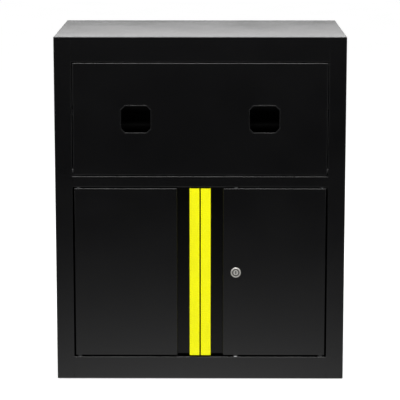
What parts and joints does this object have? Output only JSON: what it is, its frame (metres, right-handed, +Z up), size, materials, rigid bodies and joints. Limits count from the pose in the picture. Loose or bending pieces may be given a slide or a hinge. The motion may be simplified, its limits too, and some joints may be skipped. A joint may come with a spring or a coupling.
{
  "type": "workshop cabinet with hose reels",
  "caption": "Steel workshop cabinet: cupboard with two locking doors below, spring-driven hose reels behind a drop flap with hose outlets above.",
  "frame": {"origin": "middle of the footprint, on the floor", "axes": "+X to the right seen from the front, the front faces -Y, +Z up"},
  "size_m": [0.7, 0.4626, 0.842],
  "materials": {
    "black_powder_coat": "black powder coat, satin, fine orange peel",
    "black_frame_coat": "black stove enamel on the reels and guides",
    "yellow_profile": "lemon yellow extruded profile",
    "zinc_steel": "zinc plated steel",
    "bright_nickel": "bright nickel plate",
    "black_plastic": "moulded black plastic",
    "black_rubber": "black rubber",
    "brass": "turned brass",
    "spring_steel": "blued spring strip"
  },
  "bodies": {
    "root": {"left_side_panel": "black_powder_coat", "right_side_panel": "black_powder_coat", "top_panel": "black_powder_coat", "middle_rail": "black_powder_coat", "bottom_rail": "black_powder_coat", "back_panel": "black_powder_coat", "bottom_panel": "black_powder_coat", "reel_shelf": "black_powder_coat", "shelf_uprights": "zinc_steel", "shelf_clips": "zinc_steel", "adjustable_shelf": "black_powder_coat", "corner_feet": "black_plastic", "pivot_bushes": "black_plastic", "magnetic_catches": "black_plastic", "stay_studs": "zinc_steel", "supply_grommets": "black_rubber", "reel_fasteners": "zinc_steel", "left_reel_frame": "black_frame_coat", "left_reel_axle": "zinc_steel", "left_inlet_elbow": "brass", "left_hose_guide": "black_frame_coat", "right_reel_frame": "black_frame_coat", "right_reel_axle": "zinc_steel", "right_inlet_elbow": "brass", "right_hose_guide": "black_frame_coat"},
    "left_door": {"left_door_panel": "black_powder_coat", "left_door_stiffener": "black_powder_coat", "left_handle_strip": "yellow_profile", "left_door_pins": "zinc_steel"},
    "right_door": {"right_door_panel": "black_powder_coat", "right_door_stiffener": "black_powder_coat", "right_handle_strip": "yellow_profile", "right_door_pins": "zinc_steel", "lock_housing": "bright_nickel", "lock_nut": "zinc_steel", "rod_guides": "black_plastic"},
    "lock_barrel": {"lock_plug": "bright_nickel", "lock_cam": "zinc_steel"},
    "upper_rod": {"upper_lock_rod": "zinc_steel"},
    "lower_rod": {"lower_lock_rod": "zinc_steel"},
    "flap": {"flap_panel": "black_powder_coat", "flap_pins": "zinc_steel", "left_outlet_trim": "black_plastic", "right_outlet_trim": "black_plastic"},
    "left_stay": {"left_flap_stay": "zinc_steel"},
    "right_stay": {"right_flap_stay": "zinc_steel"},
    "left_drum": {"left_reel_drum": "black_frame_coat", "left_spring_case": "black_frame_coat", "left_power_spring": "spring_steel"},
    "left_ratchet_pawl": {"left_pawl": "zinc_steel"},
    "left_roller_above": {"left_upper_roller": "black_plastic"},
    "left_roller_below": {"left_lower_roller": "black_plastic"},
    "right_drum": {"right_reel_drum": "black_frame_coat", "right_spring_case": "black_frame_coat", "right_power_spring": "spring_steel"},
    "right_ratchet_pawl": {"right_pawl": "zinc_steel"},
    "right_roller_above": {"right_upper_roller": "black_plastic"},
    "right_roller_below": {"right_lower_roller": "black_plastic"}
  },
  "joints": [
    {"name": "left_door_hinge", "type": "hinge", "parent": "root", "child": "left_door", "pos_m": [-0.2942, -0.22175, 0.2686], "axis": [0, 0, -1], "range_deg": [0, 110]},
    {"name": "right_door_hinge", "type": "hinge", "parent": "root", "child": "right_door", "pos_m": [0.2942, -0.22175, 0.2686], "axis": [0, 0, 1], "range_deg": [0, 110]},
    {"name": "lock_turn", "type": "hinge", "parent": "right_door", "child": "lock_barrel", "pos_m": [0.0867, -0.22875, 0.2686], "axis": [0, 1, 0], "range_deg": [-0.1, 90.1]},
    {"name": "upper_rod_slide", "type": "slide", "parent": "right_door", "child": "upper_rod", "axis": [0, 0, 1], "range_m": [0, 0.012]},
    {"name": "lower_rod_slide", "type": "slide", "parent": "right_door", "child": "lower_rod", "axis": [0, 0, -1], "range_m": [0, 0.0121]},
    {"name": "flap_hinge", "type": "hinge", "parent": "root", "child": "flap", "pos_m": [0, -0.22175, 0.5179], "axis": [1, 0, 0], "range_deg": [0, 90]},
    {"name": "left_stay_pivot", "type": "hinge", "parent": "flap", "child": "left_stay", "pos_m": [-0.3048, -0.1957, 0.66562], "axis": [1, 0, 0], "range_deg": [-45.5, 0.5]},
    {"name": "right_stay_pivot", "type": "hinge", "parent": "flap", "child": "right_stay", "pos_m": [0.3048, -0.1957, 0.66562], "axis": [1, 0, 0], "range_deg": [-45.5, 0.5]},
    {"name": "left_drum_spin", "type": "hinge", "parent": "root", "child": "left_drum", "pos_m": [-0.1546, 0.07085, 0.6461], "axis": [1, 0, 0], "continuous": true},
    {"name": "left_pawl_lift", "type": "hinge", "parent": "root", "child": "left_ratchet_pawl", "pos_m": [-0.0811, 0.02034, 0.55804], "axis": [1, 0, 0], "range_deg": [0, 10], "stiffness_Nm_per_rad": 0.05},
    {"name": "left_upper_roller_spin", "type": "hinge", "parent": "root", "child": "left_roller_above", "pos_m": [-0.1546, -0.16675, 0.6667], "axis": [1, 0, 0], "continuous": true},
    {"name": "left_lower_roller_spin", "type": "hinge", "parent": "root", "child": "left_roller_below", "pos_m": [-0.1546, -0.16675, 0.6207], "axis": [1, 0, 0], "continuous": true},
    {"name": "right_drum_spin", "type": "hinge", "parent": "root", "child": "right_drum", "pos_m": [0.1546, 0.07085, 0.6461], "axis": [1, 0, 0], "continuous": true},
    {"name": "right_pawl_lift", "type": "hinge", "parent": "root", "child": "right_ratchet_pawl", "pos_m": [0.2281, 0.02034, 0.55804], "axis": [1, 0, 0], "range_deg": [0, 10], "stiffness_Nm_per_rad": 0.05},
    {"name": "right_upper_roller_spin", "type": "hinge", "parent": "root", "child": "right_roller_above", "pos_m": [0.1546, -0.16675, 0.6667], "axis": [1, 0, 0], "continuous": true},
    {"name": "right_lower_roller_spin", "type": "hinge", "parent": "root", "child": "right_roller_below", "pos_m": [0.1546, -0.16675, 0.6207], "axis": [1, 0, 0], "continuous": true}
  ],
  "couplings": [
    {"joint": "lock_turn", "follows": "upper_rod_slide", "rad_per_m": 130.9},
    {"joint": "lower_rod_slide", "follows": "upper_rod_slide", "ratio": 1},
    {"joint": "left_stay_pivot", "follows": "flap_hinge", "ratio": -0.5},
    {"joint": "right_stay_pivot", "follows": "flap_hinge", "ratio": -0.5}
  ]
}
